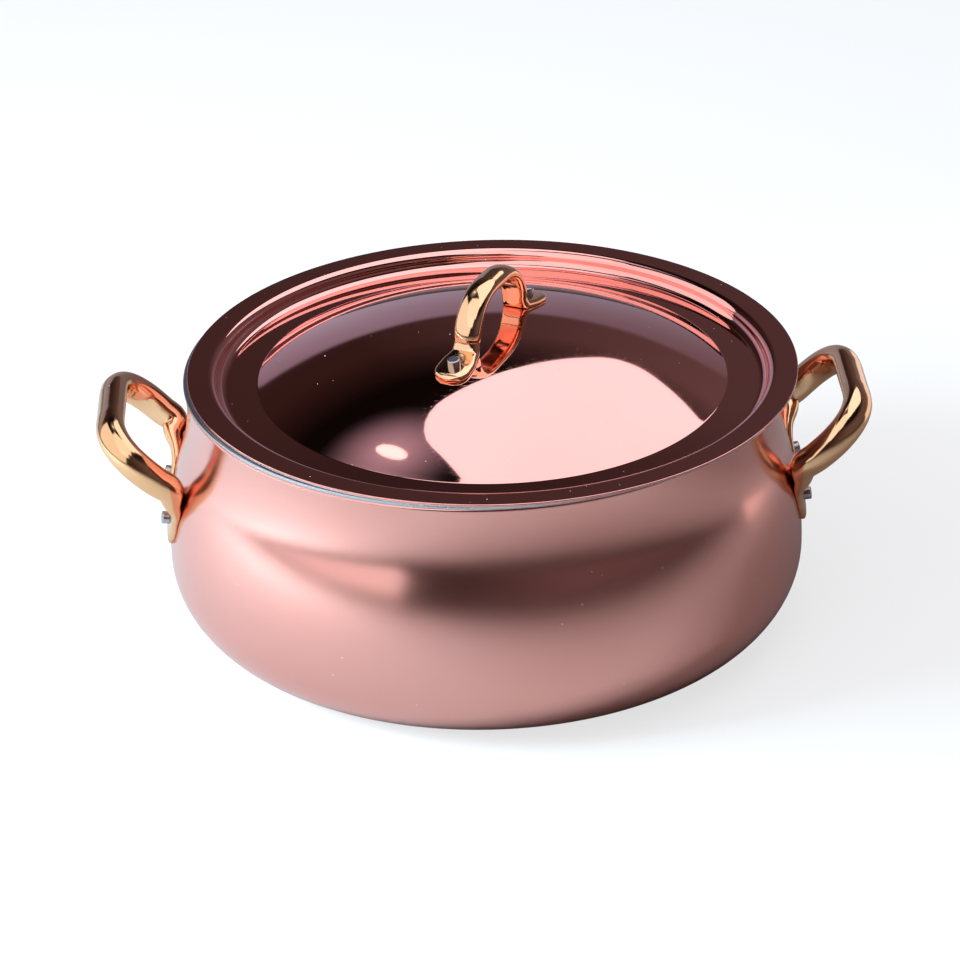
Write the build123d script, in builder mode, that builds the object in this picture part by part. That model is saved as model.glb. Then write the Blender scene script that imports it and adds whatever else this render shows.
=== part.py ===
from build123d import *
from math import asin, atan2, cos, degrees, radians, sin, sqrt
import os

os.makedirs("parts", exist_ok=True)

# A round-bellied copper casserole pan, lined with steel, with two brass loop handles and a domed lid.
# Millimetres. The origin is the middle of the flat base, +Z is up, and the side handles lie along X.

# Pot, measured on the outside of the copper
rim_radius = 116.3
rim_height = 101.0
lip_flare = 1.0
neck_height = 91.0
belly_bulge = 8.7
belly_height = 28.0
shoulder_bend_share = 0.68
pot_copper = 1.6
pot_steel = 0.5
lip_cover = 1.5

# Lid, which rests a little to one side within its play in the pot's mouth
lid_overhang = 2.2
lid_shift_x = 3.8
lid_shift_y = 0.4
lid_copper = 0.8
lid_steel = 0.4
seat_gap = 0.3
step_clearance = 0.1
step_width = 6.6
step_depth = 5.5
well_width = 12.2
crease_bend = 2.0
dome_rise = 20.5

# Rivets
rivet_radius = 2.5
rivet_hole_clearance = 0.1
rivet_stub = 2.8
rivet_stub_round = 0.5
rivet_head_radius = 5.5
rivet_head_height = 1.8
rivet_head_round = 1.2

# Side handles
foot_seat_gap = 0.1
foot_spacing = 38.0
foot_height = 50.0
foot_thickness = 2.2
foot_radius = 7.4
foot_tip_drop = 9.5
foot_tip_radius = 1.2
foot_top_rise = 9.0
foot_top_radius = 5.5
loop_pitch = 43.8
loop_reach = 36.9
loop_width = 64.2
loop_start_rise = 13.7
loop_start_inset = 3.6
grip_straight = 26.0
grip_depth = 9.3
grip_thickness = 12.0
elbow_along = 11.0
elbow_thickness = 11.4
elbow_depth = 9.7
corner_squareness = 2.3
corner_turns = (9, 34, 60)

# Arms of the side handles, from the rivet up. Each place has its rise up the wall, its spread to the side,
# its lift off the wall, its pitch in degrees, its thickness and its width.
arm_root = (-1.0, 0.0, 0.9, 86, 1.8, 11.1)
arm_swell = (4.0, 0.8, 1.9, 84, 3.6, 13.0)
arm_neck = (10.0, 4.0, 4.2, 68, 7.6, 12.2)

# Lid handle
strap_turn = 63.5
strap_width = 10.6
strap_thickness = 4.8
arch_half_span = 25.5
arch_height = 22.8
arch_bend = 20.5
strap_foot_width = 14.0
strap_foot_start = 19.0
strap_foot_end = 41.5
strap_foot_round = 5.0
strap_foot_thickness = 2.2
strap_rivet_distance = 34.5

# Values that follow from the pot's sizes
neck_radius = rim_radius - lip_flare
belly_radius = rim_radius + belly_bulge
base_radius = belly_radius - belly_height
wall = pot_copper + pot_steel
shoulder_run = belly_radius - neck_radius
shoulder_climb = neck_height - belly_height
shoulder_total = (shoulder_run**2 + shoulder_climb**2) / (2 * shoulder_run)
belly_bend = shoulder_total * shoulder_bend_share
neck_bend = shoulder_total - belly_bend
turn_height = belly_height + shoulder_climb * shoulder_bend_share
lip_climb = rim_height - neck_height
lip_bend = (lip_flare**2 + lip_climb**2) / (2 * lip_flare)


def wall_at(height, inset=0.0):
    """Radius of the wall's face at a height, and the rise of its outward normal in degrees."""
    if height < belly_height:
        centre, bend, side = (base_radius, belly_height), belly_height - inset, 1
    elif height < turn_height:
        centre, bend, side = (belly_radius - belly_bend, belly_height), belly_bend - inset, 1
    elif height < neck_height:
        centre, bend, side = (neck_radius + neck_bend, neck_height), neck_bend + inset, -1
    else:
        centre, bend, side = (neck_radius + lip_bend, neck_height), lip_bend + inset, -1
    climb = height - centre[1]
    reach = sqrt(bend**2 - climb**2)
    return centre[0] + side * reach, degrees(atan2(side * climb, reach))


def draw_cup(inset, top, mode=Mode.ADD):
    """Half section, filled to the axis, of the pot's outline drawn in by inset and cut off at top."""
    belly_run = belly_bend - inset
    turn_rise = shoulder_climb / shoulder_total
    turn_in = (shoulder_total - shoulder_run) / shoulder_total
    turn = (
        belly_radius - belly_bend + belly_run * turn_in,
        belly_height + belly_run * turn_rise,
    )
    with BuildLine() as outline:
        floor = Line((0, inset), (base_radius, inset))
        corner = TangentArc(floor @ 1, (belly_radius - inset, belly_height), tangent=floor % 1)
        shoulder = TangentArc(corner @ 1, turn, tangent=corner % 1)
        neck = TangentArc(shoulder @ 1, (neck_radius - inset, neck_height), tangent=shoulder % 1)
        lip = TangentArc(neck @ 1, (wall_at(top, inset)[0], top), tangent=neck % 1)
        Polyline(lip @ 1, (0, top), (0, inset))
    make_face(outline.edges(), mode=mode)


# The four rivets of the side handles sit square to the wall, at the middle of each handle's foot.
foot_wall_radius, foot_rise = wall_at(foot_height)
foot_turn = degrees(asin(foot_spacing / 2 / foot_wall_radius))


def foot_plane(azimuth):
    """Plane on the pot's wall at a foot: its Z points out of the wall and its Y up the wall."""
    turn, rise = radians(azimuth), radians(foot_rise)
    origin = (foot_wall_radius * cos(turn), foot_wall_radius * sin(turn), foot_height)
    out = (cos(turn) * cos(rise), sin(turn) * cos(rise), sin(rise))
    return Plane(origin=origin, x_dir=(-sin(turn), cos(turn), 0), z_dir=out)


side_rivets = {
    "right_front_rivet": foot_plane(-foot_turn),
    "right_back_rivet": foot_plane(foot_turn),
    "left_front_rivet": foot_plane(180 + foot_turn),
    "left_back_rivet": foot_plane(180 - foot_turn),
}

# The lid's own frame: its origin is on the top of the flange, at the lid's axis.
lid_wall = lid_copper + lid_steel
lid_radius = rim_radius + lid_overhang
lid_height = rim_height + seat_gap + lid_wall
lid_centre = Vector(lid_shift_x, lid_shift_y, lid_height)
lid_axis = Axis(lid_centre, (0, 0, 1))
lid_section = Plane(origin=lid_centre, x_dir=(1, 0, 0), z_dir=(0, -1, 0))
rim_inner_radius = wall_at(rim_height, wall)[0]
step_radius = rim_inner_radius - sqrt(lid_shift_x**2 + lid_shift_y**2) - step_clearance
step_bend = (step_width**2 + step_depth**2) / (4 * step_depth)
well_radius = step_radius - step_width
dome_foot_radius = well_radius - well_width
dome_bend = (dome_foot_radius**2 + dome_rise**2) / (2 * dome_rise)
dome_top = dome_rise - step_depth
dome_centre_depth = dome_bend - dome_top
dome_centre = lid_centre - Vector(0, 0, dome_centre_depth)


def draw_lid(depth, mode=Mode.ADD):
    """Half section of all that lies under the lid's top face moved in by depth, in the lid's frame."""
    turn = (
        step_radius - step_width * (step_bend - depth) / (2 * step_bend),
        -step_bend + (2 * step_bend - step_depth) * (step_bend - depth) / (2 * step_bend),
    )
    well = -step_depth - depth
    crease_height = crease_bend - step_depth
    crease_radius = sqrt((dome_bend + crease_bend) ** 2 - (dome_centre_depth + crease_height) ** 2)
    dome_share = (dome_bend - depth) / (dome_bend + crease_bend)
    crease_end = (
        crease_radius * dome_share,
        (dome_centre_depth + crease_height) * dome_share - dome_centre_depth,
    )
    under = -3 * step_depth
    with BuildLine() as outline:
        flange = Line((lid_radius, -depth), (step_radius, -depth))
        brow = TangentArc(flange @ 1, turn, tangent=flange % 1)
        step = TangentArc(brow @ 1, (well_radius, well), tangent=brow % 1)
        floor = Line(step @ 1, (crease_radius, well))
        crease = TangentArc(floor @ 1, crease_end, tangent=floor % 1)
        dome = TangentArc(crease @ 1, (0, dome_top - depth), tangent=crease % 1)
        Polyline(dome @ 1, (0, under), (lid_radius, under), flange @ 0)
    make_face(outline.edges(), mode=mode)


# The lid handle's frame: X runs along the strap, from the front foot to the back one.
strap_frame = Plane(
    origin=lid_centre,
    x_dir=(cos(radians(strap_turn)), sin(radians(strap_turn)), 0),
    z_dir=(0, 0, 1),
)


def strap_plane(distance):
    """Plane on the dome's top face, square to it, at a distance along the strap."""
    lean = asin(distance / dome_bend)
    spot = strap_frame.from_local_coords((distance, 0, dome_bend * cos(lean) - dome_centre_depth))
    out = (spot - dome_centre).normalized()
    return Plane(origin=spot, x_dir=strap_frame.y_dir, z_dir=out)


lid_rivets = {
    "lid_front_rivet": strap_plane(-strap_rivet_distance),
    "lid_back_rivet": strap_plane(strap_rivet_distance),
}
drill_length = 4 * rivet_head_radius


def drill(planes):
    """Cut a rivet hole on each plane, through whatever the part has there."""
    for plane in planes:
        with Locations(plane.location):
            Cylinder(rivet_radius + rivet_hole_clearance, drill_length, mode=Mode.SUBTRACT)


# Copper pot: one spun sheet, with its cut edge covered by the lining
copper_top = rim_height - lip_cover
with BuildPart() as pot_shell:
    with BuildSketch(Plane.XZ) as copper_section:
        draw_cup(0, copper_top)
        draw_cup(pot_copper, copper_top, mode=Mode.SUBTRACT)
    revolve(axis=Axis.Z)
    drill(side_rivets.values())
pot_shell.part.label = "pot_shell"

# Steel lining, bonded inside the copper and turned out over its edge
with BuildPart() as pot_lining:
    with BuildSketch(Plane.XZ):
        draw_cup(0, rim_height)
        draw_cup(wall, rim_height, mode=Mode.SUBTRACT)
        add(copper_section.sketch, mode=Mode.SUBTRACT)
    revolve(axis=Axis.Z)
    drill(side_rivets.values())
pot_lining.part.label = "pot_lining"

# Space that the pot fills, a seat gap larger, which the handles are fitted to
with BuildPart() as pot_space:
    with BuildSketch(Plane.XZ):
        draw_cup(-foot_seat_gap, rim_height)
    revolve(axis=Axis.Z)

# One foot of a side handle: a leaf-shaped plate that follows the wall
foot_block = 4 * foot_thickness
with BuildPart() as side_foot:
    with BuildSketch(Plane.XZ):
        draw_cup(-foot_seat_gap - foot_thickness, rim_height)
        draw_cup(-foot_seat_gap, rim_height, mode=Mode.SUBTRACT)
    revolve(axis=Axis.Z)
    with BuildSketch(side_rivets["right_front_rivet"]):
        Circle(foot_radius)
        with Locations((0, -foot_tip_drop)):
            Circle(foot_tip_radius)
        with Locations((0, foot_top_rise)):
            Circle(foot_top_radius)
        make_hull()
    extrude(amount=foot_block, both=True, mode=Mode.INTERSECT)

# The sections of the loop from the front foot to the middle of the grip. Each has its distance along X,
# its distance to the front, its height, its pitch, its thickness across the loop and its width along it.
foot_side = foot_spacing / 2
foot_reach = sqrt(foot_wall_radius**2 - foot_side**2)
loop_side = loop_width / 2
bow = loop_side - grip_straight / 2


def arm_section(rise, spread, lift, pitch, thickness, width):
    """Section of an arm's end, lifted off the wall above the rivet."""
    side = foot_side + spread
    reach = sqrt(wall_at(foot_height + rise)[0] ** 2 - side**2)
    return reach + lift, side, foot_height + rise, pitch, thickness, width


def loop_section(along, side, thickness=grip_thickness, width=grip_depth):
    """Section of the loop itself, at a distance along its pitched plane and a distance to its side."""
    reach = foot_reach - loop_start_inset + along * cos(radians(loop_pitch))
    height = foot_height + loop_start_rise + along * sin(radians(loop_pitch))
    return reach, side, height, loop_pitch, thickness, width


def corner_section(turn):
    """Section of the loop's corner, which is a little squarer than a quarter circle."""
    along_share = sin(radians(turn)) ** (2 / corner_squareness)
    side_share = cos(radians(turn)) ** (2 / corner_squareness)
    return loop_section(loop_reach - bow + bow * along_share, loop_side - bow + bow * side_share)


half_loop = [
    arm_section(*arm_root),
    arm_section(*arm_swell),
    arm_section(*arm_neck),
    loop_section(elbow_along, loop_side, elbow_thickness, elbow_depth),
    *[corner_section(turn) for turn in corner_turns],
    loop_section(loop_reach, grip_straight / 2),
]
grip_middle = loop_section(loop_reach, 0)
back_half = [(reach, -side, *rest) for reach, side, *rest in reversed(half_loop)]
loop_sections = [*half_loop, grip_middle, *back_half]
loop_points = [Vector(reach, -side, height) for reach, side, height, *_ in loop_sections]
points_before = [loop_points[0], *loop_points[:-1]]
points_after = [*loop_points[1:], loop_points[-1]]

with BuildPart() as right_handle:
    for section, before, point, after in zip(loop_sections, points_before, loop_points, points_after):
        pitch, thickness, width = section[3:]
        heading = (after - before).normalized()
        across = Vector(-sin(radians(pitch)), 0, cos(radians(pitch)))
        across = across - heading * across.dot(heading)
        with BuildSketch(Plane(origin=point, x_dir=across, z_dir=heading)):
            Ellipse(thickness / 2, width / 2)
    loft()
    add(pot_space.part, mode=Mode.SUBTRACT)
    add(side_foot.part)
    mirror(side_foot.part, about=Plane.XZ)
    drill([side_rivets["right_front_rivet"], side_rivets["right_back_rivet"]])
right_handle.part.label = "right_handle"

with BuildPart() as left_handle:
    mirror(right_handle.part, about=Plane.YZ)
left_handle.part.label = "left_handle"

# Copper lid: one spun sheet with a flat flange, a step down into the pot's mouth, a well and a dome
with BuildPart() as lid_shell:
    with BuildSketch(lid_section):
        draw_lid(0)
        draw_lid(lid_copper, mode=Mode.SUBTRACT)
    revolve(axis=lid_axis)
    drill(lid_rivets.values())
lid_shell.part.label = "lid_shell"

# Steel lining under the lid
with BuildPart() as lid_lining:
    with BuildSketch(lid_section):
        draw_lid(lid_copper)
        draw_lid(lid_wall, mode=Mode.SUBTRACT)
    revolve(axis=lid_axis)
    drill(lid_rivets.values())
lid_lining.part.label = "lid_lining"

# Strap of the lid handle: a plain bent bar
arch_base = dome_top - 2 * strap_thickness
arch_middle = strap_thickness / 2
arch_side = Plane(origin=lid_centre, x_dir=strap_frame.x_dir, z_dir=-strap_frame.y_dir)
with BuildPart() as strap_arch:
    with BuildSketch(arch_side):
        with BuildLine():
            arch_side_out = arch_half_span - arch_middle
            arch_top = dome_top + arch_height - arch_middle
            arch_line = FilletPolyline(
                (-arch_side_out, arch_base),
                (-arch_side_out, arch_top),
                (arch_side_out, arch_top),
                (arch_side_out, arch_base),
                radius=arch_bend - arch_middle,
            )
        trace(arch_line, line_width=strap_thickness)
    extrude(amount=strap_width / 2, both=True)

# Lid handle: the arch and two plates that follow the dome
with BuildPart() as lid_handle:
    with BuildSketch(strap_frame.offset(-dome_rise)):
        foot_length = strap_foot_end - strap_foot_start
        foot_middle = (strap_foot_end + strap_foot_start) / 2
        with Locations((foot_middle, 0), (-foot_middle, 0)):
            RectangleRounded(foot_length, strap_foot_width, strap_foot_round)
    extrude(amount=2 * dome_rise)
    with Locations(dome_centre):
        Sphere(dome_bend + foot_seat_gap + strap_foot_thickness, mode=Mode.INTERSECT)
    add(strap_arch.part)
    with Locations(dome_centre):
        Sphere(dome_bend + foot_seat_gap, mode=Mode.SUBTRACT)
    drill(lid_rivets.values())
lid_handle.part.label = "lid_handle"


def make_rivet(plane, sheet, wall_bend, plate):
    """Rivet on a plane of the sheet's outer face: a plain stub outside the plate, and a head inside."""
    head_sag = rivet_head_radius**2 / (2 * (wall_bend - sheet))
    head_seat = sheet + head_sag + foot_seat_gap
    head_top = head_seat + rivet_head_height
    stub_top = -(foot_seat_gap + plate + rivet_stub)
    with BuildPart() as rivet:
        with BuildSketch(Plane(origin=plane.origin, x_dir=plane.x_dir, z_dir=plane.y_dir)):
            with BuildLine():
                FilletPolyline(
                    (0, stub_top),
                    (rivet_radius, stub_top),
                    (rivet_radius, head_seat),
                    radius=rivet_stub_round,
                )
                Line((rivet_radius, head_seat), (rivet_head_radius, head_seat))
                FilletPolyline(
                    (rivet_head_radius, head_seat),
                    (rivet_head_radius, head_top),
                    (0, head_top),
                    radius=rivet_head_round,
                )
                Line((0, head_top), (0, stub_top))
            make_face()
        revolve(axis=Axis(plane.origin, plane.z_dir))
    return rivet.part


rivets = {}
for name, plane in side_rivets.items():
    rivets[name] = make_rivet(plane, wall, belly_bend, foot_thickness)
for name, plane in lid_rivets.items():
    rivets[name] = make_rivet(plane, lid_wall, dome_bend, strap_foot_thickness)
for name, rivet in rivets.items():
    rivet.label = name

pieces = [pot_shell, pot_lining, left_handle, right_handle, lid_shell, lid_lining, lid_handle]
for piece in [builder.part for builder in pieces] + list(rivets.values()):
    export_step(piece, f"parts/{piece.label}.step")
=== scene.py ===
from math import asin, atan2, cos, degrees, pi, radians, sin, sqrt

import bmesh
import bpy
import numpy as np
from mathutils import Matrix, Vector


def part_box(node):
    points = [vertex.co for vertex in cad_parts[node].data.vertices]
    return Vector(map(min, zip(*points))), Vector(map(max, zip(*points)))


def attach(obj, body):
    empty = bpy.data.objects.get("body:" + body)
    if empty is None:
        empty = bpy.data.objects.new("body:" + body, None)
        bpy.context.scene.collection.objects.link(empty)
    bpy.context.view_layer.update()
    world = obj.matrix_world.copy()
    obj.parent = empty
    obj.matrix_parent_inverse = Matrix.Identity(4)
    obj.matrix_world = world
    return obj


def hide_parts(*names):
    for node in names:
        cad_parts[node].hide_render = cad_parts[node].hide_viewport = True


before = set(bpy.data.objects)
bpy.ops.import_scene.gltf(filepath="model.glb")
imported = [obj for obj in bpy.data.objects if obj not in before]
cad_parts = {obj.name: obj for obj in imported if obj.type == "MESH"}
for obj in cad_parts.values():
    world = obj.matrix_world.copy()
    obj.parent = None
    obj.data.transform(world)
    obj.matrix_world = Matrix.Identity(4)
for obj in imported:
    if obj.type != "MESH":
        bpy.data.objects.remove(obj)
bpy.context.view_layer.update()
scene = bpy.context.scene

# Camera. It looks down on the pan from the front, a little from the left, through a long lens, and it is
# tipped a little so that the right side of the pan stands higher.
aim = Vector((-0.002, 0, 0.0515))
camera_distance = 1.4605
camera_rise = radians(27.44)
camera_swing = radians(1.83)
camera_tip = radians(-1.34)
camera_lens = 138.75
camera_sensor = 36

camera_data = bpy.data.cameras.new("camera")
camera_data.lens = camera_lens
camera_data.sensor_width = camera_sensor
camera_data.clip_start = 0.05
camera_data.clip_end = 50
camera = bpy.data.objects.new("camera", camera_data)
scene.collection.objects.link(camera)
camera_back = Vector((
    -sin(camera_swing) * cos(camera_rise),
    -cos(camera_swing) * cos(camera_rise),
    sin(camera_rise),
))
camera_turn = (-camera_back).to_track_quat("-Z", "Y").to_matrix().to_4x4()
camera_place = Matrix.Translation(aim + camera_distance * camera_back)
camera.matrix_world = camera_place @ camera_turn @ Matrix.Rotation(camera_tip, 4, "Z")
scene.camera = camera
scene.view_settings.view_transform = "Standard"


# Room. It is dark, a little less so at the right, with a lilac-grey backdrop behind the pan that gets dimmer
# to the right. Only the camera sees it pale, so that the pan is shown on a plain ground from every side.
def add_node(tree, kind, inputs=None, **settings):
    """Put a node in a tree, set it, and fill or link its inputs."""
    made = tree.nodes.new(kind)
    for name, value in settings.items():
        setattr(made, name, value)
    for name, value in (inputs or {}).items():
        if isinstance(value, bpy.types.NodeSocket):
            tree.links.new(value, made.inputs[name])
        else:
            made.inputs[name].default_value = value
    return made


def calculate(tree, operation, first, second=0.0):
    """Value of a Math node."""
    return add_node(tree, "ShaderNodeMath", {0: first, 1: second}, operation=operation).outputs["Value"]


def ramp(tree, value, low, high, to_low=0.0, to_high=1.0, **settings):
    """Value mapped from one range to another and held there."""
    return add_node(tree, "ShaderNodeMapRange", {
        "Value": value, "From Min": low, "From Max": high, "To Min": to_low, "To Max": to_high,
    }, **settings).outputs["Result"]


def mix_colour(tree, share, first, second):
    """Colour between two."""
    mixed = add_node(tree, "ShaderNodeMix", {0: share, 6: first, 7: second}, data_type="RGBA")
    return mixed.outputs[2]


room_left = (0.034, 0.02, 0.019, 1)
room_right = (0.13, 0.095, 0.10, 1)
room_right_start = -0.2
room_right_end = 0.5
room_top = (0.004, 0.003, 0.003, 1)
room_top_start = 0.47
room_top_end = 0.68
room_pale = (0.92, 0.92, 0.925, 1)
backdrop_low = (0.41, 0.44, 0.59, 1)
backdrop_high = (0.25, 0.25, 0.35, 1)
backdrop_foot = -0.1
backdrop_top = 0.29
backdrop_edge = 0.015
backdrop_front = 0.25
backdrop_fade = 0.3
backdrop_dim_start = -0.15
backdrop_dim_end = 0.5
backdrop_right_share = 0.2

world = bpy.data.worlds.new("room")
world.use_nodes = True
scene.world = world
room = world.node_tree
room.nodes.clear()
direction = add_node(room, "ShaderNodeTexCoord").outputs["Generated"]
parts = add_node(room, "ShaderNodeSeparateXYZ", {"Vector": direction}).outputs
backdrop_height = ramp(room, parts["Z"], backdrop_foot, backdrop_top)
backdrop_colour = mix_colour(room, backdrop_height, backdrop_low, backdrop_high)
backdrop_below = ramp(
    room, parts["Z"], backdrop_top - backdrop_edge, backdrop_top + backdrop_edge, 1.0, 0.0
)
backdrop_behind = ramp(room, parts["Y"], backdrop_front, backdrop_front + backdrop_fade)
backdrop_side = ramp(room, parts["X"], backdrop_dim_start, backdrop_dim_end, 1.0, backdrop_right_share)
backdrop_here = calculate(room, "MULTIPLY", backdrop_below, backdrop_behind)
backdrop_share = calculate(room, "MULTIPLY", backdrop_here, backdrop_side)
room_side = ramp(room, parts["X"], room_right_start, room_right_end)
room_wall = mix_colour(room, room_side, room_left, room_right)
room_height = ramp(room, parts["Z"], room_top_start, room_top_end)
room_dark = mix_colour(room, room_height, room_wall, room_top)
room_colour = mix_colour(room, backdrop_share, room_dark, backdrop_colour)
seen_room = add_node(room, "ShaderNodeBackground", {"Color": room_pale})
lit_room = add_node(room, "ShaderNodeBackground", {"Color": room_colour})
camera_ray = add_node(room, "ShaderNodeLightPath").outputs["Is Camera Ray"]
room_mix = add_node(room, "ShaderNodeMixShader", {
    0: camera_ray, 1: lit_room.outputs["Background"], 2: seen_room.outputs["Background"],
})
add_node(room, "ShaderNodeOutputWorld", {"Surface": room_mix.outputs["Shader"]})


# Floor. A plain pale sheet that the pan stands on. The camera sees it nearly evenly pale, with a faint
# shadow. The copper mirrors it as the lamps light it, with a painted pool of light in its colour: painted
# pale near the pan and darker further to the front, standing in for the fall-off of the lamps' light.
floor_radius = 4.0
floor_seen = (0.93, 0.93, 0.935, 1)
floor_shadow = 0.22
# Painted light: the colour the copper mirrors is painted pale near the pan and darker far off.
painted_light_near = (0.33, 0.31, 0.30, 1)
painted_light_far = (0.125, 0.10, 0.095, 1)
painted_light_distance = 0.44
painted_light_half = 0.28
painted_light_turn = radians(-65)

floor_material = bpy.data.materials.new("floor_paper_painted_light")
floor_material.use_nodes = True
tree = floor_material.node_tree
tree.nodes.clear()
place = add_node(tree, "ShaderNodeTexCoord").outputs["Object"]
out_front = add_node(tree, "ShaderNodeVectorMath", {
    0: place, 1: (cos(painted_light_turn), sin(painted_light_turn), 0),
}, operation="DOT_PRODUCT").outputs["Value"]
# Painted pool of light: a mask from pale near the pan to darker towards the front right.
painted_light_mask = ramp(tree, out_front, painted_light_distance - painted_light_half, painted_light_distance + painted_light_half)
painted_light_paper = add_node(tree, "ShaderNodeBsdfDiffuse", {"Color": mix_colour(tree, painted_light_mask, painted_light_near, painted_light_far)})
shaded_floor = add_node(tree, "ShaderNodeBsdfDiffuse", {"Color": floor_seen})
even_floor = add_node(tree, "ShaderNodeEmission", {"Color": floor_seen})
seen_floor = add_node(tree, "ShaderNodeMixShader", {
    0: floor_shadow, 1: even_floor.outputs["Emission"], 2: shaded_floor.outputs["BSDF"],
})
floor_ray = add_node(tree, "ShaderNodeLightPath").outputs["Is Camera Ray"]
floor_mix = add_node(tree, "ShaderNodeMixShader", {
    0: floor_ray, 1: painted_light_paper.outputs["BSDF"], 2: seen_floor.outputs["Shader"],
})
add_node(tree, "ShaderNodeOutputMaterial", {"Surface": floor_mix.outputs["Shader"]})


def add_object(bm, name, material):
    """Make a smooth-shaded object of a bmesh."""
    mesh = bpy.data.meshes.new(name)
    bm.to_mesh(mesh)
    bm.free()
    mesh.materials.append(material)
    mesh.shade_smooth()
    made = bpy.data.objects.new(name, mesh)
    scene.collection.objects.link(made)
    return made


bm = bmesh.new()
bmesh.ops.create_circle(bm, cap_ends=True, segments=96, radius=floor_radius)
floor = add_object(bm, "floor", floor_material)


# Lamps. A big softbox hangs over the right side, two stand at the left and front left, one hangs high in
# front, and a small lamp with its dim reflector hangs behind on the left. A low card stands at the right, and
# a last lamp, which the metal doesn't mirror, lights the floor.
rim_level = 0.1


def toward(azimuth, elevation, distance):
    """Point at a distance from the middle of the rim. Azimuth 0 is behind the pan and 90 to its right."""
    turn, lift = radians(azimuth), radians(elevation)
    way = Vector((sin(turn) * cos(lift), cos(turn) * cos(lift), sin(lift)))
    return way * distance + Vector((0, 0, rim_level))


def glowing(name, colour, strength):
    """Material of a lit panel, dark on its back."""
    material = bpy.data.materials.new(name)
    material.use_nodes = True
    tree = material.node_tree
    tree.nodes.clear()
    glow = add_node(tree, "ShaderNodeEmission", {"Color": (*colour, 1), "Strength": strength}, name="glow")
    dark = add_node(tree, "ShaderNodeEmission", {"Strength": 0.0})
    back = add_node(tree, "ShaderNodeNewGeometry").outputs["Backfacing"]
    mix = add_node(tree, "ShaderNodeMixShader", {0: back, 1: glow.outputs[0], 2: dark.outputs[0]})
    add_node(tree, "ShaderNodeOutputMaterial", {"Surface": mix.outputs["Shader"]})
    return material


def hang(bm, name, colour, strength):
    """Hang a lit panel, which the camera doesn't see."""
    panel = add_object(bm, name, glowing(name, colour, strength))
    panel.visible_camera = False
    panel.visible_shadow = False


top_height = 1.15
top_corner = Vector((-0.28, 0.58, 0)) * top_height
top_side = Vector((0.93, 1.07, 0)) * top_height
top_run = Vector((0.54, -1.24, 0)) * top_height
top_round = 0.16
top_white = (0.97, 1.0, 1.09)
bm = bmesh.new()
bmesh.ops.create_grid(bm, x_segments=1, y_segments=1, size=0.5)
top_centre = top_corner + (top_side + top_run) / 2 + Vector((0, 0, rim_level + top_height))
bmesh.ops.bevel(
    bm, geom=bm.verts, offset=top_round, segments=6, profile=0.5, affect="VERTICES", material=-1
)
top_place = Matrix((top_side, top_run, Vector((0, 0, 1)))).transposed().to_4x4()
bmesh.ops.transform(bm, matrix=Matrix.Translation(top_centre) @ top_place, verts=bm.verts)
hang(bm, "top_softbox", top_white, strength=1.5)


def face_pan(bm, place, width, height):
    """Spread a flat shape to a size, and turn it to the pan at its place."""
    turn = (-place).to_track_quat("Z", "Y").to_matrix().to_4x4()
    spread = Matrix.Diagonal((width, height, 1, 1))
    bmesh.ops.transform(bm, matrix=Matrix.Translation(place) @ turn @ spread, verts=bm.verts)


def standing_panel(name, place, width, height, colour, strength):
    """Square-cornered panel that faces the pan."""
    bm = bmesh.new()
    bmesh.ops.create_grid(bm, x_segments=1, y_segments=1, size=0.5)
    face_pan(bm, place, width, height)
    hang(bm, name, colour, strength)


softbox_white = (0.97, 1.0, 1.05)
card_pink = (1.0, 0.9, 0.88)
card_place = toward(62, 6, 0.42) - Vector((0, 0, 0.085))
standing_panel(
    "left_softbox", toward(-105, 25, 2.0), width=4.3, height=2.3, colour=softbox_white, strength=1.12
)
standing_panel(
    "front_softbox", toward(-139, 48, 2.1), width=2.0, height=1.9, colour=softbox_white, strength=1.4
)
standing_panel("right_card", card_place, width=0.4, height=0.12, colour=card_pink, strength=1.0)
standing_panel(
    "upper_front_softbox", Vector((-0.3, -0.55, 1.35)),
    width=1.3, height=1.1, colour=softbox_white, strength=1.3,
)


def lamp_disc(name, place, width, height, colour, strength):
    """Oval panel that faces the pan."""
    bm = bmesh.new()
    bmesh.ops.create_circle(bm, cap_ends=True, segments=48, radius=1)
    face_pan(bm, place, width / 2, height / 2)
    hang(bm, name, colour, strength)


lamp_place = toward(-38, 61.5, 1.55)
lamp_white = (1.0, 0.97, 1.0)
reflector_place = lamp_place * 1.03
reflector_width = 0.8
reflector_lilac = (0.95, 0.9, 1.15)
reflector_middle = 0.5
reflector_rim = 0.01
lamp_disc("small_lamp", lamp_place, width=0.085, height=0.2, colour=lamp_white, strength=2.0)
lamp_disc(
    "lamp_reflector", reflector_place, reflector_width, reflector_width, reflector_lilac, reflector_middle
)
tree = bpy.data.materials["lamp_reflector"].node_tree
spot = add_node(tree, "ShaderNodeTexCoord").outputs["Object"]
away = add_node(tree, "ShaderNodeVectorMath", {0: spot, 1: reflector_place}, operation="DISTANCE")
fade = ramp(
    tree, away.outputs["Value"], 0.0, reflector_width / 2, reflector_middle, reflector_rim,
    interpolation_type="SMOOTHSTEP",
)
tree.links.new(fade, tree.nodes["glow"].inputs["Strength"])


def light_floor(name, place, size, power, colour):
    """Lamp that the metal doesn't mirror, aimed at the pan."""
    lamp_data = bpy.data.lights.new(name, "AREA")
    lamp_data.shape = "SQUARE"
    lamp_data.size = size
    lamp_data.energy = power
    lamp_data.color = colour
    lamp = bpy.data.objects.new(name, lamp_data)
    turn = (-place).to_track_quat("-Z", "Y").to_matrix().to_4x4()
    lamp.matrix_world = Matrix.Translation(place) @ turn
    lamp.visible_glossy = False
    lamp.visible_camera = False
    scene.collection.objects.link(lamp)


key_blue = (0.78, 1.06, 1.22)
light_floor("left_key", Vector((-0.68, -0.14, 0.42)), size=0.4, power=19, colour=key_blue)


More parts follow.
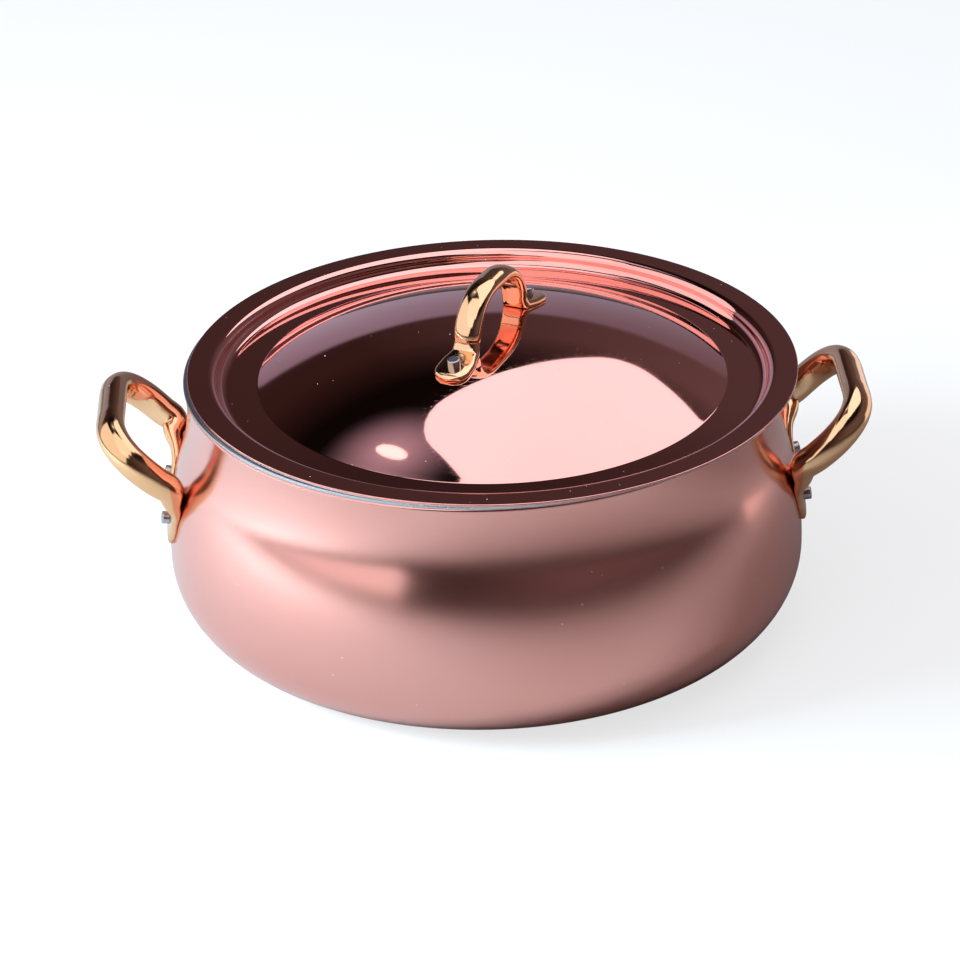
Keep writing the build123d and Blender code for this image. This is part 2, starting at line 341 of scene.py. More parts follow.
# Copper pot. It is spun from one sheet of copper 1.6 mm thick, with a flat base, a round belly and a waist
# below the lid, and polished all round. It stands on its base.
pot_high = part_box("pot_shell")[1]
rim_radius = 0.1163
rim_height = 0.101
lip_flare = 0.001
neck_height = 0.091
belly_height = 0.028
shoulder_share = 0.68
copper_sheet = 0.0016
steel_sheet = 0.0005
steel_lip = 0.0015
steps_round = 256
base_steps = 24
shoulder_steps = 16
neck_steps = 12
lip_steps = 6

belly_radius = pot_high.x
neck_radius = rim_radius - lip_flare
base_radius = belly_radius - belly_height
shoulder_run = belly_radius - neck_radius
shoulder_climb = neck_height - belly_height
shoulder_total = (shoulder_run**2 + shoulder_climb**2) / (2 * shoulder_run)
belly_bend = shoulder_total * shoulder_share
neck_bend = shoulder_total - belly_bend
shoulder_turn = degrees(asin(shoulder_climb / shoulder_total))
lip_climb = rim_height - neck_height
lip_bend = (lip_flare**2 + lip_climb**2) / (2 * lip_flare)


def draw_to(bm, end, radius, height, support=0.0003):
    """Draw a straight line on from the end of a profile, with a point near each of its ends."""
    start = end.co.copy()
    finish = Vector((radius, 0, height))
    along = (finish - start).normalized() * support
    stops = [start + along, finish - along, finish] if (finish - start).length > 3 * support else [finish]
    for stop in stops:
        end = bmesh.ops.extrude_vert_indiv(bm, verts=[end])["verts"][0]
        end.co = stop
    return end


def draw_bend(bm, end, radius, height, turn, steps):
    """Draw an arc on from the end of a profile, about a centre, by so many degrees anticlockwise."""
    made = bmesh.ops.spin(
        bm, geom=[end], cent=(radius, 0, height), axis=(0, -1, 0), angle=radians(turn), steps=steps
    )
    return [part for part in made["geom_last"] if isinstance(part, bmesh.types.BMVert)][0]


def revolve(bm, centre=(0, 0, 0), steps=steps_round):
    """Spin a profile into a whole turn about the upright axis, and move it to its place."""
    bmesh.ops.spin(
        bm, geom=bm.verts[:] + bm.edges[:], axis=(0, 0, 1), angle=2 * pi, steps=steps, use_merge=True
    )
    bmesh.ops.remove_doubles(bm, verts=bm.verts, dist=1e-6)
    bmesh.ops.recalc_face_normals(bm, faces=bm.faces)
    bmesh.ops.translate(bm, vec=Vector(centre), verts=bm.verts)


def draw_wall_up(bm, inset, top):
    """Draw the pot's outline, moved in by inset, from the middle of its base up to a height."""
    end = bm.verts.new((0, 0, inset))
    end = draw_to(bm, end, base_radius, inset)
    end = draw_bend(bm, end, base_radius, belly_height, 90, base_steps)
    end = draw_bend(bm, end, belly_radius - belly_bend, belly_height, shoulder_turn, shoulder_steps)
    end = draw_bend(bm, end, neck_radius + neck_bend, neck_height, -shoulder_turn, neck_steps)
    top_turn = degrees(asin((top - neck_height) / (lip_bend + inset)))
    return draw_bend(bm, end, neck_radius + lip_bend, neck_height, -top_turn, lip_steps)


def draw_wall_down(bm, end, inset):
    """Draw the same outline down from the end of a profile to the middle of the base."""
    top_turn = degrees(asin((end.co.z - neck_height) / (lip_bend + inset)))
    end = draw_bend(bm, end, neck_radius + lip_bend, neck_height, top_turn, lip_steps)
    end = draw_bend(bm, end, neck_radius + neck_bend, neck_height, shoulder_turn, neck_steps)
    end = draw_bend(bm, end, belly_radius - belly_bend, belly_height, -shoulder_turn, shoulder_steps)
    end = draw_bend(bm, end, base_radius, belly_height, -90, base_steps)
    return draw_to(bm, end, 0, inset)


def wall_radius(height, inset):
    """Radius of the neck's face at a height above the waist."""
    reach = lip_bend + inset
    return neck_radius + lip_bend - sqrt(reach**2 - (height - neck_height) ** 2)


def new_group(name, inputs, outputs):
    """Start a node group with its sockets, and give its tree and its two end nodes."""
    group = bpy.data.node_groups.new(name, "ShaderNodeTree")
    for label, kind, value in inputs:
        socket = group.interface.new_socket(label, in_out="INPUT", socket_type=kind)
        if value is not None:
            socket.default_value = value
    for label, kind in outputs:
        group.interface.new_socket(label, in_out="OUTPUT", socket_type=kind)
    return group, group.nodes.new("NodeGroupInput"), group.nodes.new("NodeGroupOutput")


VECTOR = "NodeSocketVector"
FLOAT = "NodeSocketFloat"


def make_hairlines():
    """Fine straight scratches from wiping, in three directions."""
    wipes = (0.3, 0.2, 0.5), (1.1, 0.7, 1.9), (2.0, 1.3, 2.7)
    stretch = 34
    shift = 0.37
    faint = 0.70
    clear = 0.76
    group, start, end = new_group(
        "hairlines", [("Vector", VECTOR, None), ("Density", FLOAT, 90.0)], [("Lines", FLOAT)]
    )
    lines = 0.0
    for number, turn in enumerate(wipes):
        turned = add_node(group, "ShaderNodeMapping", {
            "Vector": start.outputs["Vector"], "Rotation": turn, "Scale": (1, stretch, stretch),
            "Location": (number * shift, 0.11, 0.23),
        })
        streaks = add_node(group, "ShaderNodeTexNoise", {
            "Vector": turned.outputs["Vector"], "Scale": start.outputs["Density"], "Detail": 1.0,
        })
        lines = calculate(group, "MAXIMUM", lines, ramp(group, streaks.outputs["Fac"], faint, clear))
    group.links.new(lines, end.inputs["Lines"])
    return group


def make_spun_grain():
    """Fine rings round the upright axis, from spinning and polishing on a lathe."""
    waver = 2.5
    group, start, end = new_group(
        "spun_grain", [("Vector", VECTOR, None), ("Density", FLOAT, 3000.0)], [("Grain", FLOAT)]
    )
    parts = add_node(group, "ShaderNodeSeparateXYZ", {"Vector": start.outputs["Vector"]})
    flat = add_node(group, "ShaderNodeCombineXYZ", {"X": parts.outputs["X"], "Y": parts.outputs["Y"]})
    radius = add_node(group, "ShaderNodeVectorMath", {0: flat.outputs["Vector"]}, operation="LENGTH")
    unit = add_node(group, "ShaderNodeVectorMath", {0: flat.outputs["Vector"]}, operation="NORMALIZE")
    around = add_node(group, "ShaderNodeSeparateXYZ", {"Vector": unit.outputs["Vector"]})
    place = add_node(group, "ShaderNodeCombineXYZ", {
        "X": calculate(group, "MULTIPLY", radius.outputs["Value"], start.outputs["Density"]),
        "Y": calculate(group, "MULTIPLY", parts.outputs["Z"], start.outputs["Density"]),
        "Z": calculate(group, "MULTIPLY", around.outputs["X"], waver),
    })
    rings = add_node(group, "ShaderNodeTexNoise", {
        "Vector": place.outputs["Vector"], "W": calculate(group, "MULTIPLY", around.outputs["Y"], waver),
        "Scale": 1.0, "Detail": 2.0,
    }, noise_dimensions="4D")
    group.links.new(rings.outputs["Fac"], end.inputs["Grain"])
    return group


def make_dust():
    """Scattered pale specks, one in a few of the cells that space is parted into."""
    empty_share = 0.86
    group, start, end = new_group(
        "dust", [("Vector", VECTOR, None), ("Density", FLOAT, 160.0), ("Size", FLOAT, 0.06)],
        [("Specks", FLOAT)],
    )
    cells = add_node(group, "ShaderNodeTexVoronoi", {
        "Vector": start.outputs["Vector"], "Scale": start.outputs["Density"],
    })
    chance = add_node(group, "ShaderNodeSeparateColor", {"Color": cells.outputs["Color"]})
    near = calculate(group, "LESS_THAN", cells.outputs["Distance"], start.outputs["Size"])
    picked = calculate(group, "GREATER_THAN", chance.outputs["Red"], empty_share)
    group.links.new(calculate(group, "MULTIPLY", near, picked), end.inputs["Specks"])
    return group


def make_drift():
    """Slow change over the surface, as handling and heat leave it."""
    pale_below = 0.3
    deep_above = 0.7
    group, start, end = new_group(
        "drift", [("Vector", VECTOR, None), ("Size", FLOAT, 12.0)], [("Drift", FLOAT)]
    )
    cloud = add_node(group, "ShaderNodeTexNoise", {
        "Vector": start.outputs["Vector"], "Scale": start.outputs["Size"], "Detail": 3.0,
    })
    group.links.new(ramp(group, cloud.outputs["Fac"], pale_below, deep_above), end.inputs["Drift"])
    return group


def make_edge_rub():
    """Edges rubbed bright by handling."""
    blunt = 0.52
    sharp = 0.62
    group, start, end = new_group("edge_rub", [("Amount", FLOAT, 1.0)], [("Rub", FLOAT)])
    shape = add_node(group, "ShaderNodeNewGeometry").outputs["Pointiness"]
    rub = ramp(group, shape, blunt, sharp)
    group.links.new(calculate(group, "MULTIPLY", rub, start.outputs["Amount"]), end.inputs["Rub"])
    return group


hairlines, spun_grain, dust, drift, edge_rub = (
    make_hairlines(), make_spun_grain(), make_dust(), make_drift(), make_edge_rub()
)


def use_group(tree, group, inputs):
    """Place a shared effect in a material, and give its output."""
    return add_node(tree, "ShaderNodeGroup", inputs, node_tree=group).outputs[0]


dust_colour = (0.75, 0.68, 0.66, 1)
dust_roughness = 0.4
dust_cover = 0.9
scratch_roughness = 0.04
rub_gain = 1.12
swell_scale = 38.0


def make_metal(
    name, pale, deep, roughness, wander, grain, lines, waves, specks, speck_size, rub, centre=(0, 0, 0)
):
    """A polished metal with its colour drift, rings, scratches, dust and rubbed edges."""
    material = bpy.data.materials.new(name)
    material.use_nodes = True
    tree = material.node_tree
    tree.nodes.clear()
    place = add_node(tree, "ShaderNodeTexCoord").outputs["Object"]
    centred = add_node(tree, "ShaderNodeMapping", {
        "Vector": place, "Location": tuple(-value for value in centre),
    }).outputs["Vector"]
    cloud = use_group(tree, drift, {"Vector": place})
    rings = use_group(tree, spun_grain, {"Vector": centred})
    scratches = use_group(tree, hairlines, {"Vector": place})
    grit = use_group(tree, dust, {"Vector": place, "Density": specks, "Size": speck_size})
    rubbed = use_group(tree, edge_rub, {"Amount": rub})
    colour = mix_colour(tree, cloud, (*pale, 1), (*deep, 1))
    colour = mix_colour(tree, rubbed, colour, (*[min(1.0, value * rub_gain) for value in pale], 1))
    colour = mix_colour(tree, grit, colour, dust_colour)
    rough = ramp(tree, cloud, 0.0, 1.0, roughness, roughness + wander)
    rough = calculate(tree, "ADD", rough, calculate(tree, "MULTIPLY", scratches, scratch_roughness))
    rough = calculate(tree, "ADD", rough, calculate(tree, "MULTIPLY", grit, dust_roughness))
    swell = add_node(tree, "ShaderNodeTexNoise", {"Vector": place, "Scale": swell_scale, "Detail": 1.0})
    height = calculate(tree, "MULTIPLY", swell.outputs["Fac"], waves)
    height = calculate(tree, "ADD", height, calculate(tree, "MULTIPLY", rings, grain))
    height = calculate(tree, "SUBTRACT", height, calculate(tree, "MULTIPLY", scratches, lines))
    bump = add_node(tree, "ShaderNodeBump", {"Height": height, "Distance": 1.0, "Strength": 1.0})
    shader = add_node(tree, "ShaderNodeBsdfPrincipled", {
        "Base Color": colour,
        "Roughness": rough,
        "Metallic": calculate(tree, "SUBTRACT", 1.0, calculate(tree, "MULTIPLY", grit, dust_cover)),
        "Normal": bump.outputs["Normal"],
    })
    add_node(tree, "ShaderNodeOutputMaterial", {"Surface": shader.outputs["BSDF"]})
    return material


pot_metal = make_metal(
    "pot_copper", pale=(0.93, 0.46, 0.405), deep=(0.90, 0.42, 0.36), roughness=0.17, wander=0.03,
    grain=1.2e-7, lines=3e-8, waves=1.2e-5, specks=260.0, speck_size=0.04, rub=0.5,
)
bm = bmesh.new()
end = draw_wall_up(bm, 0, rim_height - steel_lip)
end = draw_to(bm, end, wall_radius(rim_height - steel_lip, copper_sheet), rim_height - steel_lip)
draw_wall_down(bm, end, copper_sheet)
revolve(bm)
pot = add_object(bm, "copper_pot", pot_metal)
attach(pot, "pot")
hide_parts("pot_shell")


# Steel lining. A sheet half a millimetre thick is bonded inside the copper, brushed in rings, and turned out
# over the copper's edge, where it shows as a bright band under the lid.
lip_round = 0.0006
edge_steps = 5
inner_sheet = copper_sheet + steel_sheet
steel_metal = make_metal(
    "steel_lining", pale=(0.62, 0.63, 0.67), deep=(0.52, 0.53, 0.57), roughness=0.24, wander=0.08,
    grain=1.5e-6, lines=4e-7, waves=2e-6, specks=200.0, speck_size=0.04, rub=0.6,
)
bm = bmesh.new()
end = draw_wall_up(bm, inner_sheet, rim_height - lip_round)
end = draw_bend(bm, end, end.co.x + lip_round, rim_height - lip_round, -90, edge_steps)
outer_lip = wall_radius(rim_height, 0)
end = draw_to(bm, end, outer_lip - lip_round, rim_height)
end = draw_bend(bm, end, outer_lip - lip_round, rim_height - lip_round, -90, edge_steps)
end = draw_to(bm, end, wall_radius(rim_height - steel_lip, 0), rim_height - steel_lip)
end = draw_to(bm, end, wall_radius(rim_height - steel_lip, copper_sheet), rim_height - steel_lip)
draw_wall_down(bm, end, copper_sheet)
revolve(bm)
lining = add_object(bm, "steel_pot_lining", steel_metal)
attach(lining, "pot")
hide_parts("pot_lining")


# Brass side handles. Each is one casting: a leaf-shaped foot at either end, held to the wall by a rivet, and
# a loop that rises from the feet, with a round outer side and a flatter inner one. It is polished.
gap = 0.0001
foot_height = 0.05
foot_side = 0.019
foot_sink = 0.0015
loop_pitch = 43.8
loop_reach = 0.0369
loop_side = 0.0321
loop_start_rise = 0.0137
loop_start_inset = 0.0036
grip_half = 0.013
grip_thickness = 0.012
grip_depth = 0.0092
corner_squareness = 2.3
outer_squareness = 2.05
handle_rows = 210
handle_around = 44


def wall_at(height):
    """Radius of the pot's wall at a height, and the rise of its outward normal in degrees."""
    if height < belly_height + shoulder_climb * shoulder_share:
        lean = asin((height - belly_height) / belly_bend)
        return belly_radius - belly_bend + belly_bend * cos(lean), degrees(lean)
    if height < neck_height:
        lean = asin((neck_height - height) / neck_bend)
        return neck_radius + neck_bend - neck_bend * cos(lean), degrees(lean)
    return wall_radius(height, 0), 0


foot_reach = sqrt(wall_at(foot_height)[0] ** 2 - foot_side**2)
foot_yaw = degrees(atan2(foot_side, foot_reach))


def foot_station(
    rise, half_width, surface, spread=0.0, turn=None, squareness=3.2, yaw=foot_yaw, sink=foot_sink
):
    """Place on a foot: its rise from the rivet, its half width and how far it stands off the wall."""
    radius, lean = wall_at(foot_height + rise)
    side = foot_side + spread
    pitch = 90 + lean if turn is None else turn
    lift = (surface - sink) / 2
    out = sqrt(radius**2 - side**2) + lift * cos(radians(lean)) * cos(radians(yaw))
    height = foot_height + rise + lift * sin(radians(lean))
    return out, -side, height, pitch, surface + sink, 2 * half_width, squareness, squareness, yaw


def loop_station(along, side, thickness=grip_thickness, depth=grip_depth, flat=3.0, pitch=loop_pitch):
    """Place on the loop: how far out along its sloping plane, and how far to the side."""
    slope = radians(loop_pitch)
    out = foot_reach - loop_start_inset + along * cos(slope)
    height = foot_height + loop_start_rise + along * sin(slope)
    return out, -side, height, pitch, thickness, depth, outer_squareness, flat, 0


def corner_station(turn):
    """Place on the loop's corner, which is a little squarer than a quarter circle."""
    bow = loop_side - grip_half
    along = loop_reach - bow + bow * sin(radians(turn)) ** (2 / corner_squareness)
    side = loop_side - bow + bow * cos(radians(turn)) ** (2 / corner_squareness)
    return loop_station(along, side)


half_handle = [
    foot_station(-0.0104, 0.0001, 0.0006),
    foot_station(-0.0102, 0.0009, 0.0016),
    foot_station(-0.0094, 0.0018, 0.0021),
    foot_station(-0.0075, 0.0036, 0.0023),
    foot_station(-0.0048, 0.0057, 0.0023),
    foot_station(-0.0024, 0.0070, 0.0023),
    foot_station(0.0, 0.0074, 0.0024),
    foot_station(0.0030, 0.0074, 0.0027, 0.0008, 101),
    foot_station(0.0062, 0.0074, 0.0036, 0.0027, 94, 2.7),
    foot_station(0.0092, 0.0071, 0.0056, 0.0054, 82, 2.4, 5, 0.0006),
    foot_station(0.0125, 0.0064, 0.0092, 0.0085, 66, 2.3, 0, -0.0010),
    loop_station(0.0056, 0.0302, 0.0108, 0.0102, 2.6, 50),
    loop_station(0.0125, 0.0318, 0.0115, 0.0097),
    *[corner_station(turn) for turn in (12, 27, 42, 57, 72)],
    loop_station(loop_reach, grip_half),
    loop_station(loop_reach, grip_half / 2),
]
whole_handle = (
    half_handle
    + [loop_station(loop_reach, 0)]
    + [(out, -side, *rest[:-1], -rest[-1]) for out, side, *rest in reversed(half_handle)]
)


def smooth_between(stations, count):
    """Stations at even distances along a smooth curve through the given ones, with their headings."""
    rows = np.array(stations)
    gaps = np.linalg.norm(np.diff(rows[:, :3], axis=0), axis=1)
    marks = np.concatenate(([0.0], np.cumsum(gaps)))
    slopes = np.gradient(rows, marks, axis=0)
    spots = np.linspace(0, marks[-1], count)
    first = np.clip(np.searchsorted(marks, spots, side="right") - 1, 0, len(gaps) - 1)
    run = gaps[first][:, None]
    share = (spots[:, None] - marks[first][:, None]) / run
    before, after = rows[first], rows[first + 1]
    leaving, reaching = slopes[first] * run, slopes[first + 1] * run
    smooth = (
        before * (2 * share**3 - 3 * share**2 + 1) + leaving * (share**3 - 2 * share**2 + share)
        + after * (3 * share**2 - 2 * share**3) + reaching * (share**3 - share**2)
    )
    headings = np.gradient(smooth[:, :3], axis=0)
    return [(*row, Vector(heading).normalized()) for row, heading in zip(smooth, headings)]


def rounded(value, squareness):
    """Sine or cosine of a squared-off ellipse."""
    return abs(value) ** (2 / squareness) * (1 if value > 0 else -1)


def sweep(rows, around, place):
    """Fold a grid into a tube whose rings lie where place puts them, and close its ends."""
    bm = bmesh.new()
    bmesh.ops.create_grid(bm, x_segments=len(rows) - 1, y_segments=around, size=1)
    for vert in bm.verts:
        row = rows[round((vert.co.x + 1) / 2 * (len(rows) - 1))]
        vert.co = place(row, (vert.co.y + 1) * pi)
    bmesh.ops.remove_doubles(bm, verts=bm.verts, dist=2e-6)
    bmesh.ops.holes_fill(bm, edges=bm.edges)
    bmesh.ops.recalc_face_normals(bm, faces=bm.faces)
    return bm


def handle_point(row, angle):
    """Point on the side handle's skin. It is kept a hair off the wall, which the foot follows."""
    out, side, height, pitch, thickness, depth, outer, inner, yaw, heading = row
    across = Vector((
        -sin(radians(pitch)) * cos(radians(yaw)),
        sin(radians(pitch)) * sin(radians(yaw)),
        cos(radians(pitch)),
    ))
    across = (across - heading * across.dot(heading)).normalized()
    outward = heading.cross(across)
    squareness = outer if sin(angle) > 0 else inner
    point = Vector((out, side, height))
    point += across * rounded(cos(angle), squareness) * thickness / 2
    point += outward * rounded(sin(angle), squareness) * depth / 2
    radius = sqrt(point.x**2 + point.y**2)
    wall_face = wall_at(point.z)[0] + gap
    if radius < wall_face:
        point.x *= wall_face / radius
        point.y *= wall_face / radius
    return point


brass_metal = make_metal(
    "cast_brass", pale=(0.93, 0.57, 0.34), deep=(0.87, 0.49, 0.25), roughness=0.09, wander=0.05,
    grain=0.0, lines=3e-7, waves=1.2e-5, specks=220.0, speck_size=0.04, rub=0.7,
)
handle_stations = smooth_between(whole_handle, handle_rows)
for name in ("right_handle", "left_handle"):
    bm = sweep(handle_stations, handle_around, handle_point)
    if name == "left_handle":
        bmesh.ops.scale(bm, vec=(-1, 1, 1), verts=bm.verts)
        bmesh.ops.recalc_face_normals(bm, faces=bm.faces)
    handle = add_object(bm, "brass_" + name, brass_metal)
    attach(handle, "pot")
    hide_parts(name)


# Steel rivets of the side handles. Each has a plain stub outside, hammered over at its edge, and a low round
# head inside the pot. They hold the feet to the wall.
rivet_radius = 0.0025
rivet_stub = 0.0028
stub_round = 0.0005
rivet_head_radius = 0.0055
rivet_head_height = 0.0018
head_round = 0.0012
foot_thickness = 0.0022
stub_steps = 6
head_steps = 8
rivet_steps_round = 48
rivet_metal = make_metal(
    "rivet_steel", pale=(0.56, 0.55, 0.60), deep=(0.42, 0.40, 0.44), roughness=0.2, wander=0.15,
    grain=0.0, lines=8e-7, waves=2e-5, specks=260.0, speck_size=0.05, rub=0.8,
)


def make_rivet(name, spot, out, up, sheet, wall_bend, body):
    """Rivet through the sheet at a spot on its outer face, whose normal is out."""
    seat = -(sheet + rivet_head_radius**2 / (2 * (wall_bend - sheet)) + gap)
    top = gap + foot_thickness + rivet_stub
    bm = bmesh.new()
    end = bm.verts.new((0, 0, top))
    end = draw_to(bm, end, rivet_radius - stub_round, top)
    end = draw_bend(bm, end, rivet_radius - stub_round, top - stub_round, -90, stub_steps)
    end = draw_to(bm, end, rivet_radius, seat)
    end = draw_to(bm, end, rivet_head_radius, seat)
    head_bend = seat - rivet_head_height + head_round
    end = draw_to(bm, end, rivet_head_radius, head_bend)
    end = draw_bend(bm, end, rivet_head_radius - head_round, head_bend, -90, head_steps)
    draw_to(bm, end, 0, seat - rivet_head_height)
    revolve(bm, steps=rivet_steps_round)
    turn = Matrix((up.cross(out), up, out)).transposed().to_4x4()
    bmesh.ops.transform(bm, matrix=Matrix.Translation(spot) @ turn, verts=bm.verts)
    rivet = add_object(bm, "steel_" + name, rivet_metal)
    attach(rivet, body)
    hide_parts(name)


foot_radius, foot_lean = wall_at(foot_height)
for name, azimuth in (
    ("right_front_rivet", -foot_yaw),
    ("right_back_rivet", foot_yaw),
    ("left_front_rivet", 180 + foot_yaw),
    ("left_back_rivet", 180 - foot_yaw),
):
    flat_out = Vector((cos(radians(azimuth)), sin(radians(azimuth)), 0))
    out = flat_out * cos(radians(foot_lean)) + Vector((0, 0, sin(radians(foot_lean))))
    up = Vector((0, 0, cos(radians(foot_lean)))) - flat_out * sin(radians(foot_lean))
    spot = flat_out * foot_radius + Vector((0, 0, foot_height))
    make_rivet(name, spot, out, up, inner_sheet, belly_bend, "pot")


# Copper lid. It is spun from one thin sheet: a flat rim that lies on the pot's lip, a step down into its
# mouth, a well whose floor rises inwards, and a low dome. It is mirror-polished, and lies a little to one
# side.
lid_centre = Vector((0.0038, 0.0004, 0.1025))
lid_radius = 0.1185
lid_copper = 0.0008
lid_steel = 0.0004
lid_edge_round = 0.00035
step_clearance = 0.0001
step_width = 0.0066
step_depth = 0.0063
well_width = 0.0122
well_depth = 0.0055
crease_bend = 0.0014
dome_rise = 0.0205
dome_base = 0.0055
dome_steps = 44
crease_steps = 8
well_steps = 16
step_steps = 14

step_radius = wall_radius(rim_height, inner_sheet) - lid_centre.xy.length - step_clearance
step_bend = (step_width**2 + step_depth**2) / (4 * step_depth)
step_turn = degrees(2 * atan2(step_depth, step_width))
well_radius = step_radius - step_width
dome_foot = well_radius - well_width
dome_bend = (dome_foot**2 + dome_rise**2) / (2 * dome_rise)
dome_top = dome_rise - dome_base
dome_depth = dome_bend - dome_top
crease_height = crease_bend - well_depth
crease_radius = sqrt((dome_bend + crease_bend) ** 2 - (dome_depth + crease_height) ** 2)
dome_turn = degrees(asin(crease_radius / (dome_bend + crease_bend)))
well_run = Vector((well_radius - crease_radius, step_bend - step_depth - crease_height))
well_slope = degrees(atan2(well_run.y, well_run.x) + asin((crease_bend - step_bend) / well_run.length))


def well_point(radius, height, bend):
    """Point where the sloping floor of the well meets a bend."""
    return radius + bend * sin(radians(well_slope)), height - bend * cos(radians(well_slope))


def draw_lid_out(bm, inset, edge):
    """Draw the lid's upper face, moved down by inset, from the middle of its dome out to an edge."""
    end = bm.verts.new((0, 0, dome_top - inset))
    end = draw_bend(bm, end, 0, -dome_depth, -dome_turn, dome_steps)
    end = draw_bend(bm, end, crease_radius, crease_height, dome_turn + well_slope, crease_steps)
    end = draw_to(bm, end, *well_point(well_radius, step_bend - step_depth, step_bend + inset))
    end = draw_bend(bm, end, well_radius, step_bend - step_depth, step_turn - well_slope, well_steps)
    end = draw_bend(bm, end, step_radius, -step_bend, -step_turn, step_steps)
    return draw_to(bm, end, edge, -inset)


def draw_lid_in(bm, end, inset):
    """Draw the same face back from the lid's edge to the middle of the dome."""
    end = draw_to(bm, end, step_radius, -inset)
    end = draw_bend(bm, end, step_radius, -step_bend, step_turn, step_steps)
    end = draw_bend(bm, end, well_radius, step_bend - step_depth, well_slope - step_turn, well_steps)
    end = draw_to(bm, end, *well_point(crease_radius, crease_height, crease_bend + inset))
    end = draw_bend(bm, end, crease_radius, crease_height, -dome_turn - well_slope, crease_steps)
    return draw_bend(bm, end, 0, -dome_depth, dome_turn, dome_steps)


lid_metal = make_metal(
    "lid_copper", pale=(0.94, 0.46, 0.41), deep=(0.92, 0.42, 0.365), roughness=0.035, wander=0.03,
    grain=8e-8, lines=8e-7, waves=3e-5, specks=330.0, speck_size=0.055, rub=0.3,
    centre=(lid_centre.x, lid_centre.y, 0),
)
bm = bmesh.new()
end = draw_lid_out(bm, 0, lid_radius - lid_edge_round)
end = draw_bend(bm, end, lid_radius - lid_edge_round, -lid_edge_round, -90, edge_steps)
end = draw_to(bm, end, lid_radius, -lid_copper)
draw_lid_in(bm, end, lid_copper)
revolve(bm, lid_centre)
lid = add_object(bm, "copper_lid", lid_metal)
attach(lid, "lid")
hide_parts("lid_shell")


# Steel lining of the lid, bonded under the copper and cut flush with its rim.
bm = bmesh.new()
end = draw_lid_out(bm, lid_copper, lid_radius)
end = draw_to(bm, end, lid_radius, -lid_copper - lid_steel / 2)
end = draw_bend(bm, end, lid_radius - lid_steel / 2, -lid_copper - lid_steel / 2, -90, 4)
draw_lid_in(bm, end, lid_copper + lid_steel)
revolve(bm, lid_centre)
lid_lining = add_object(bm, "steel_lid_lining", steel_metal)
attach(lid_lining, "lid")
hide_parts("lid_lining")


# Brass lid handle. It is one bent strap with a crowned outer face and a flat inner one. Its two flat feet
# follow the dome, and each is held to it by a rivet. It stands turned on the lid.
strap_turn = 63.5
strap_foot_end = 0.0415
strap_rivet = 0.0345
strap_leg = 0.0231
strap_top = 0.0352
strap_bend = 0.0181
strap_step = 0.0195
strap_proud = 0.0004
strap_proud_fade = 0.0005
strap_thickness = 0.0044
strap_width = 0.0102
strap_outer_squareness = 2.1
strap_inner_squareness = 4.2
strap_rows = 190
strap_around = 40


def dome_height(along):
    """Height of the dome over the lid's rim, at a distance from its middle."""
    return sqrt(dome_bend**2 - along**2) - dome_depth


def strap_foot_station(along, half_width, thickness=0.0023, squareness=4.0):
    """Place on a foot of the strap."""
    height = dome_height(along) + (thickness - foot_sink) / 2
    return along, 0, height, thickness + foot_sink, 2 * half_width, squareness, squareness


def strap_arch_station(along, height):
    """Place on the strap's arch, where its section stays the same."""
    squareness = strap_outer_squareness, strap_inner_squareness
    return along, 0, height, strap_thickness, strap_width, *squareness


def strap_corner_station(turn):
    """Place on the strap's bend."""
    along = strap_leg - strap_bend + strap_bend * cos(radians(turn))
    height = strap_top - strap_bend + strap_bend * sin(radians(turn))
    return strap_arch_station(along, height)


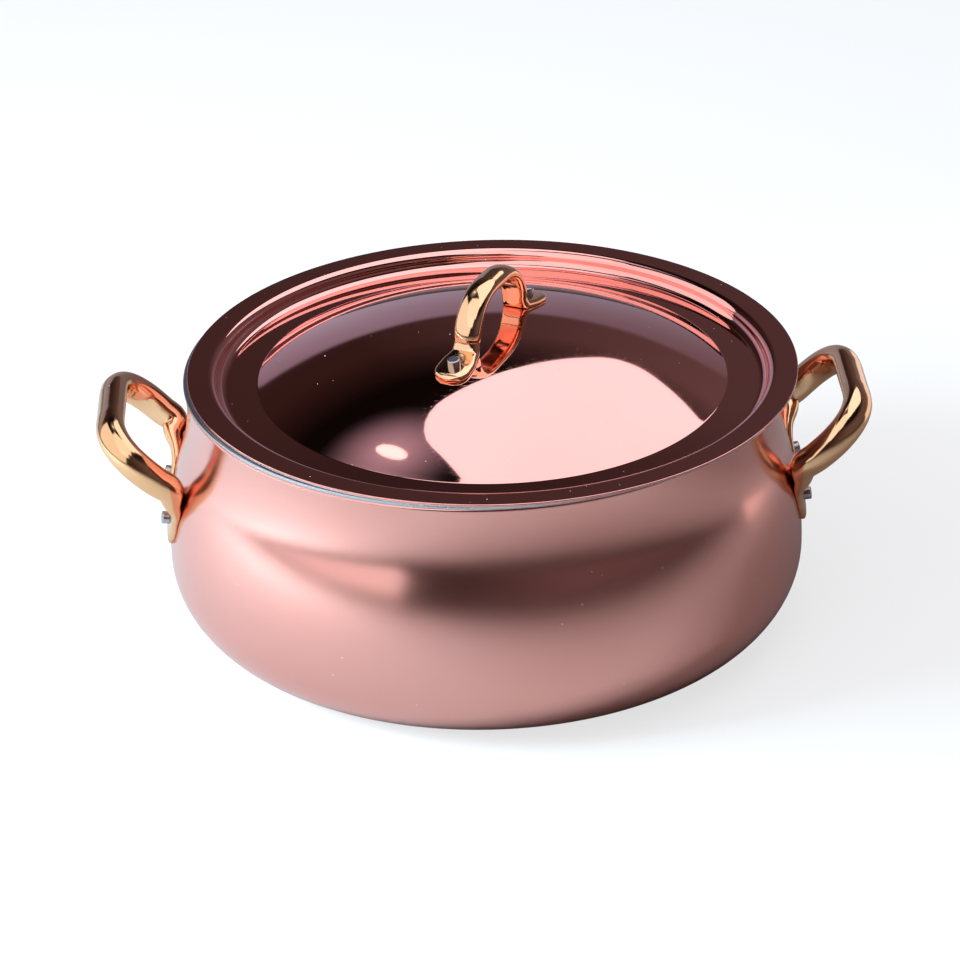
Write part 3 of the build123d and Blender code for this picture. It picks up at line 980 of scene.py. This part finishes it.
half_strap = [
    strap_foot_station(strap_foot_end, 0.0001, 0.0010),
    strap_foot_station(strap_foot_end - 0.0002, 0.0030, 0.0018),
    strap_foot_station(strap_foot_end - 0.0010, 0.0050, 0.0022),
    strap_foot_station(strap_foot_end - 0.0026, 0.0063),
    strap_foot_station(strap_foot_end - 0.0050, 0.0070),
    strap_foot_station(strap_rivet, 0.0070),
    strap_foot_station(0.0300, 0.0067, 0.0024),
    strap_foot_station(0.0272, 0.0060, 0.0028, 3.4),
    (0.0246, 0, dome_height(0.0246) + 0.0012, 0.0046, 0.0110, 2.8, 4.0),
    (0.0233, 0, dome_height(0.0246) + 0.0036, 0.0044, 0.0104, 2.3, 4.2),
    *[strap_corner_station(turn) for turn in (3, 18, 36, 54, 72)],
    strap_arch_station(0.005, strap_top),
    strap_arch_station(0.0025, strap_top),
]
whole_strap = (
    half_strap
    + [strap_arch_station(0, strap_top)]
    + [(-along, *rest) for along, *rest in reversed(half_strap)]
)
strap_place = Matrix.Translation(lid_centre) @ Matrix.Rotation(radians(strap_turn), 4, "Z")


def strap_point(row, angle):
    """Point on the strap's skin. It is kept a hair off the dome, which the feet follow."""
    along, side, height, thickness, width, outer, inner, heading = row
    out = Vector((heading.z, 0, -heading.x))
    proud = strap_proud * min(1, max(0, (height - strap_step) / strap_proud_fade))
    squareness = outer if cos(angle) > 0 else inner
    point = Vector((along, 0, height))
    point += out * rounded(cos(angle), squareness) * (thickness / 2 + proud * max(0, cos(angle)))
    point += Vector((0, 1, 0)) * rounded(sin(angle), squareness) * (width / 2 + proud / 2)
    from_centre = point + Vector((0, 0, dome_depth))
    if from_centre.length < dome_bend + gap:
        from_centre *= (dome_bend + gap) / from_centre.length
    return strap_place @ (from_centre - Vector((0, 0, dome_depth)))


strap_stations = smooth_between(whole_strap, strap_rows)
strap = add_object(sweep(strap_stations, strap_around, strap_point), "brass_strap", brass_metal)
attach(strap, "lid")
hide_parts("lid_handle")


# Steel rivets of the lid handle, like those of the side handles, with their heads under the dome.
for name, along in (("lid_front_rivet", -strap_rivet), ("lid_back_rivet", strap_rivet)):
    run = Vector((cos(radians(strap_turn)), sin(radians(strap_turn)), 0))
    lean = asin(along / dome_bend)
    out = run * sin(lean) + Vector((0, 0, cos(lean)))
    spot = lid_centre + run * along + Vector((0, 0, dome_height(along)))
    up = run * cos(lean) - Vector((0, 0, sin(lean)))
    make_rivet(name, spot, out, up, lid_copper + lid_steel, dome_bend, "lid")
